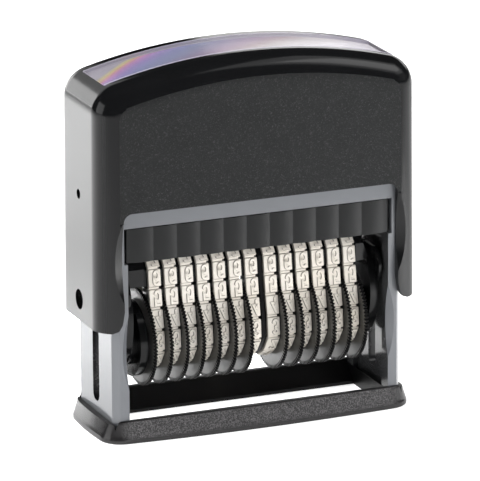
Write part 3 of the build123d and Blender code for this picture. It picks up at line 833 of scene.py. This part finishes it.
def box_solid(x0, x1, y0, y1, z0, z1):
    c = Builder()
    c.prism([(x0, y0, z0), (x1, y0, z0), (x1, y1, z0), (x0, y1, z0)],
            [(x0, y0, z1), (x1, y0, z1), (x1, y1, z1), (x0, y1, z1)])
    return solid(c.v, c.f)


def carve(me, cutters):
    """The mesh with each closed cutter taken out of it."""
    body = bpy.data.objects.new("carved", me)
    scene.collection.objects.link(body)
    temp = [body]
    for c in cutters:
        o = bpy.data.objects.new("cutter", c)
        scene.collection.objects.link(o)
        temp.append(o)
        m = body.modifiers.new("cut", "BOOLEAN")
        m.operation = "DIFFERENCE"
        m.solver = "EXACT"
        m.object = o
    dg = bpy.context.evaluated_depsgraph_get()
    out = bpy.data.meshes.new_from_object(body.evaluated_get(dg))
    for o in temp:
        bpy.data.objects.remove(o)
    return out


def foot():
    rings = [bowed_outline(35.02, 13.32, 0.7, 1.5, 4.8, 0.0), bowed_outline(35.2, 13.5, 0.7, 1.5, 5.0, 0.18),
             bowed_outline(35.2, 13.5, 0.7, 1.5, 5.0, 1.0), bowed_outline(35.1, 13.38, 0.7, 1.42, 4.95, 1.16)]
    for t in (0.2, 0.4, 0.6, 0.8, 0.93):
        rings.append(bowed_outline(35.1 + (33.75 - 35.1) * t, 13.38 + (12.0 - 13.38) * t, 0.7 + 0.05 * t,
                                   1.42 - 1.07 * t, 4.95 - 1.75 * t, 1.16 + 3.64 * t))
    rings.append(bowed_outline(33.70, 11.95, 0.75, 0.35, 3.15, 4.70))
    rings.append(bowed_outline(33.52, 11.77, 0.75, 0.35, 3.0, 4.80))
    n = len(rings[0])
    v = [p for r in rings for p in r]
    f = []
    for k in range(len(rings) - 1):
        f += ring_faces(k * n, (k + 1) * n, n)
    f.append(tuple(range(n))[::-1])
    f.append(tuple(range((len(rings) - 1) * n, len(rings) * n)))
    me = solid(v, f)
    wx, wy = 29.3, 7.0
    c = Builder()
    hexa = [(-wy, 0.7), (-10.8, 4.45), (-10.8, 6), (10.8, 6), (10.8, 4.45), (wy, 0.7)]
    c.prism([(-wx, y, z) for y, z in hexa], [(wx, y, z) for y, z in hexa])
    cuts = [box_solid(-wx, wx, -wy, wy, -1, 8), solid(c.v, c.f)]
    for s in (-1, 1):
        x0, x1 = sorted((s * (wx - 0.01), s * 36.0))
        cuts.append(box_solid(x0, x1, -11.15, 11.15, 4.0, 8))
        x0, x1 = sorted((s * 29.35, s * 32.71))
        cuts.append(box_solid(x0, x1, -11.05, 11.05, 3.0, 8))
    me = carve(me, cuts)

    def pick(q, m):
        inner = (q.x / 35.2 * m.x + q.y / 13.5 * m.y) < 0.02 and q.z > 0.1
        # inner walls and top faces take the painted-shade material
        return 1 if inner or m.z > 0.75 else 0

    fm = [pick(Vector(p.center) / MM, p.normal) for p in me.polygons]
    me.materials.clear()
    return dress("foot_ring", me, "frame_body", [base_mat, base_inside_shade], face_mats=fm, smooth=38, bevel=0.16,
                 segments=3, bevel_angle=38, replace="base_foot", slot="black_base")


foot()


def cap_pick(c, n):
    if abs(n.y) > 0.985 and abs(c.y) > 12.6 and c.z > 48.9 and abs(c.x) < 31.8:
        return 1
    inside = abs(c.y) < 11.4 and abs(c.x) < 34.7 and c.z < 78.2
    crown = c.z > 62.0 and n.z > 0.05              # the domed top and its shoulders
    return 2 if inside and not crown else 0


cad_piece("cap_shell", "cap", "cap", [gloss_black, panel_black, inner_black], pick=cap_pick, slot="black_cap",
          bevel=0.12, segments=2, smooth=30, dissolve=0.3)
cad_piece("ink_cartridge", "ink_tray", "cartridge", tray_mat, slot="charcoal_tray", bevel=0.12, segments=2, smooth=24,
          bevel_angle=24)


# ---------------------------------------------------------------------------
# ink pad: foam block, edges drawn in, face a little uneven
# ---------------------------------------------------------------------------
def pad():
    lo, hi = node_span("ink_pad")
    nx, ny = 72, 24
    b = Builder()
    hx, hy = (hi.x - lo.x) / 2, (hi.y - lo.y) / 2
    r = 0.9

    def row(z, d):
        return z, d

    prof = [(lo.z + 0.0, r * 0.9), (lo.z + 0.12, r * 0.45), (lo.z + 0.4, r * 0.15), (lo.z + 1.0, 0.03),
            ((lo.z + hi.z) / 2, 0.0), (hi.z - 0.6, 0.05), (hi.z - 0.15, 0.3), (hi.z, 0.7)]
    # side wall rings
    def outline(d):
        pts = []
        n = 160
        for i in range(n):
            a = 2 * math.pi * i / n
            c, s = math.cos(a), math.sin(a)
            k = 0.10
            x = math.copysign(abs(c) ** k, c) * (hx - d)
            y = math.copysign(abs(s) ** k, s) * (hy - d)
            pts.append((x, y))
        return pts

    rings = [[(x, y, z) for x, y in outline(d)] for z, d in prof]
    n = len(rings[0])
    v = [p for r_ in rings for p in r_]
    f = []
    for k in range(len(rings) - 1):
        f += ring_faces(k * n, (k + 1) * n, n)
    # faces as fans of shrinking rings, a little dished
    for k0, z, sgn in ((0, lo.z, 1), (len(rings) - 1, hi.z, -1)):
        last = k0 * n
        for t in (0.9, 0.7, 0.45, 0.2):
            base = len(v)
            for j in range(n):
                x, y, _ = rings[k0][j]
                dz = 0.05 * sgn * (1 - t) if sgn > 0 else 0
                v.append((x * t, y * t, z + dz))
            f += ring_faces(last, base, n)
            last = base
        f.append(tuple(range(last, last + n)))
    b.add(v, f)
    ob = finish_mesh("ink_foam_pad", b.v, b.f, "cartridge", ink_foam, smooth=50, weighted=False,
                     replace="ink_pad", slot="ink_foam")
    return ob


pad()


# ---------------------------------------------------------------------------
# return springs: wire swept on a helix with closed ends
# ---------------------------------------------------------------------------
def spring(name, node):
    lo, hi = node_span(node)
    cx = (lo.x + hi.x) / 2
    R, wr = 2.75, 0.4
    z0, z1 = lo.z + wr, hi.z - wr
    turns, per = 8.0, 40
    N = int(turns * per)
    m = 12
    b = Builder()
    rings = []
    for i in range(N + 1):
        t = i / N
        # closed end coils: pitch small over the first and last turn
        e = 1.0 / turns
        def lift(t):
            a = 0.9 * wr * 2
            if t < e:
                return a * (t / e)
            if t > 1 - e:
                return (z1 - z0) - a * ((1 - t) / e)
            return a + ((z1 - z0) - 2 * a) * (t - e) / (1 - 2 * e)
        z = z0 + lift(t)
        dz = (lift(min(t + 1e-3, 1)) - lift(max(t - 1e-3, 0)))
        ang = 2 * math.pi * turns * t
        c = Vector((cx + R * math.cos(ang), R * math.sin(ang), z))
        tan = Vector((-R * math.sin(ang), R * math.cos(ang), dz / (2e-3) / (2 * math.pi * turns))).normalized()
        out = Vector((math.cos(ang), math.sin(ang), 0))
        up = tan.cross(out).normalized()
        rings.append([tuple(c + wr * (math.cos(2 * math.pi * j / m) * out + math.sin(2 * math.pi * j / m) * up))
                      for j in range(m)])
    v = [p for r in rings for p in r]
    f = []
    for k in range(N):
        f += ring_faces(k * m, (k + 1) * m, m)
    f.append(tuple(range(m))[::-1])
    f.append(tuple(range(N * m, N * m + m)))
    b.add(v, f)
    ob = finish_mesh(name, b.v, b.f, "frame_body", spring_steel, smooth=60, weighted=False, replace=node,
                     slot="spring_steel")
    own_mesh(ob)
    return ob


spring("spring_coil_left", "return_spring_left")
spring("spring_coil_right", "return_spring_right")

# ---------------------------------------------------------------------------
# index card and clear cover
# ---------------------------------------------------------------------------
cad_piece("index_card", "index_label_card", "cap", card_mat, slot="card", bevel=0.0, smooth=40)
cad_piece("index_window", "index_cover", "cap", cover_mat, slot="clear_cover", bevel=0.12, segments=2, smooth=40)

# ---------------------------------------------------------------------------
# floor and light
# ---------------------------------------------------------------------------
me = bpy.data.meshes.new("floor")
S = 4.0
me.from_pydata([(-S, -S, 0), (S, -S, 0), (S, S, 0), (-S, S, 0)], [], [(0, 1, 2, 3)])
floor = bpy.data.objects.new("floor", me)
scene.collection.objects.link(floor)
fm = Mat("floor_white")
fm.color(fm.ramp(fm.noise(6.0, 2.0, 0.5), [(0.3, (0.86, 0.86, 0.86, 1)), (0.7, (0.88, 0.88, 0.88, 1))]))
fm.set(Roughness=0.9, Specular_IOR_Level=0.2, Emission_Color=(1, 1, 1, 1))
# a light table that is dimmer towards its front
fm.link(fm.remap(fm.xyz(1), -0.19, -0.09, 0.08, 0.54), fm.bsdf.inputs["Emission Strength"])
me.materials.append(fm.mat)

world = bpy.data.worlds.new("studio")
scene.world = world
world.use_nodes = True
bg = world.node_tree.nodes["Background"]
bg.inputs["Color"].default_value = (1, 1, 1, 1)
bg.inputs["Strength"].default_value = 0.025


def softbox(name, pos, target, size_x, size_y, power, gloss=True, spread=180.0, diffuse=True):
    d = bpy.data.lights.new(name, "AREA")
    d.shape = "RECTANGLE"
    d.size, d.size_y = size_x, size_y
    d.energy = power
    d.spread = math.radians(spread)
    o = bpy.data.objects.new(name, d)
    scene.collection.objects.link(o)
    direction = Vector(target) - Vector(pos)
    o.rotation_mode = "QUATERNION"
    o.rotation_quaternion = direction.to_track_quat("-Z", "Y")
    o.location = pos
    o.visible_camera = False
    o.visible_glossy = gloss
    o.visible_diffuse = diffuse
    return o


# overhead: with the table's own glow, an even white table whose light fills the front faces from below
softbox("top", (-0.05, 0.0, 1.0), (0, 0, 0.04), 0.6, 0.6, 6.2, gloss=False)
# low over the table at the back left: the bright table that the polished left faces mirror
table_only = bpy.data.collections.new("table_only")
table_only.objects.link(floor)
lamp = softbox("table_left", (-0.16, 0.24, 0.22), (-0.10, 0.15, 0), 0.12, 0.12, 1.6, gloss=False)
lamp.light_linking.receiver_collection = table_only      # flagged off the object itself
softbox("fill_left", (-0.75, -0.12, 0.30), (0, 0, 0.03), 0.30, 0.30, 1.6, gloss=False)
# low front right and a little front left: modelling light on the bands
softbox("key_front", (0.22, -0.95, 0.24), (0, 0, 0.03), 0.45, 0.30, 4.0, gloss=False)
softbox("key_right", (0.72, -0.55, 0.22), (0, 0, 0.03), 0.45, 0.36, 2.2, gloss=False)
# low over the table at the front right: the flutes' right halves mirror it
softbox("table_right", (0.130, -0.088, 0.15), (0.130, -0.0879, 0), 0.11, 0.03, 0.16, gloss=False, spread=68.0)
# low over the table just behind: the left faces of the setting wheels and legs mirror it
softbox("table_back", (-0.035, 0.070, 0.15), (-0.035, 0.0699, 0), 0.12, 0.03, 0.050, gloss=False, spread=50.0)
# high front right: the soft patch on the cap's rounded front edge, brighter in its middle
softbox("patch_right", (0.64, -0.34, 0.78), (0, 0, 0.07), 0.62, 0.85, 2.0)
softbox("patch_middle", (0.63, -0.34, 0.77), (0, 0, 0.07), 0.36, 0.45, 1.25)
# behind: a white wall to the left, from the table up, for the left shoulder, and one to the right for the top cover
softbox("back_left", (-0.33, 1.07, 0.23), (-0.33, 0, 0.23), 0.50, 0.44, 2.2, diffuse=False)
softbox("back_soft", (-0.23, 1.12, 0.44), (-0.23, 0, 0.44), 0.86, 0.84, 1.7, diffuse=False)
softbox("table_far", (-0.20, 0.60, 0.50), (-0.20, 0.601, 0), 0.30, 0.50, 1.6, gloss=False, spread=90.0)
softbox("back_right", (0.95, 1.05, 0.36), (0.3, 0, 0.20), 1.10, 0.35, 2.3)
# sides
softbox("side_right", (0.80, -0.30, 0.35), (0, 0, 0.04), 0.50, 0.50, 0.2)
softbox("side_left", (-0.90, 0.10, 0.30), (0, 0, 0.04), 0.60, 0.50, 2.2)
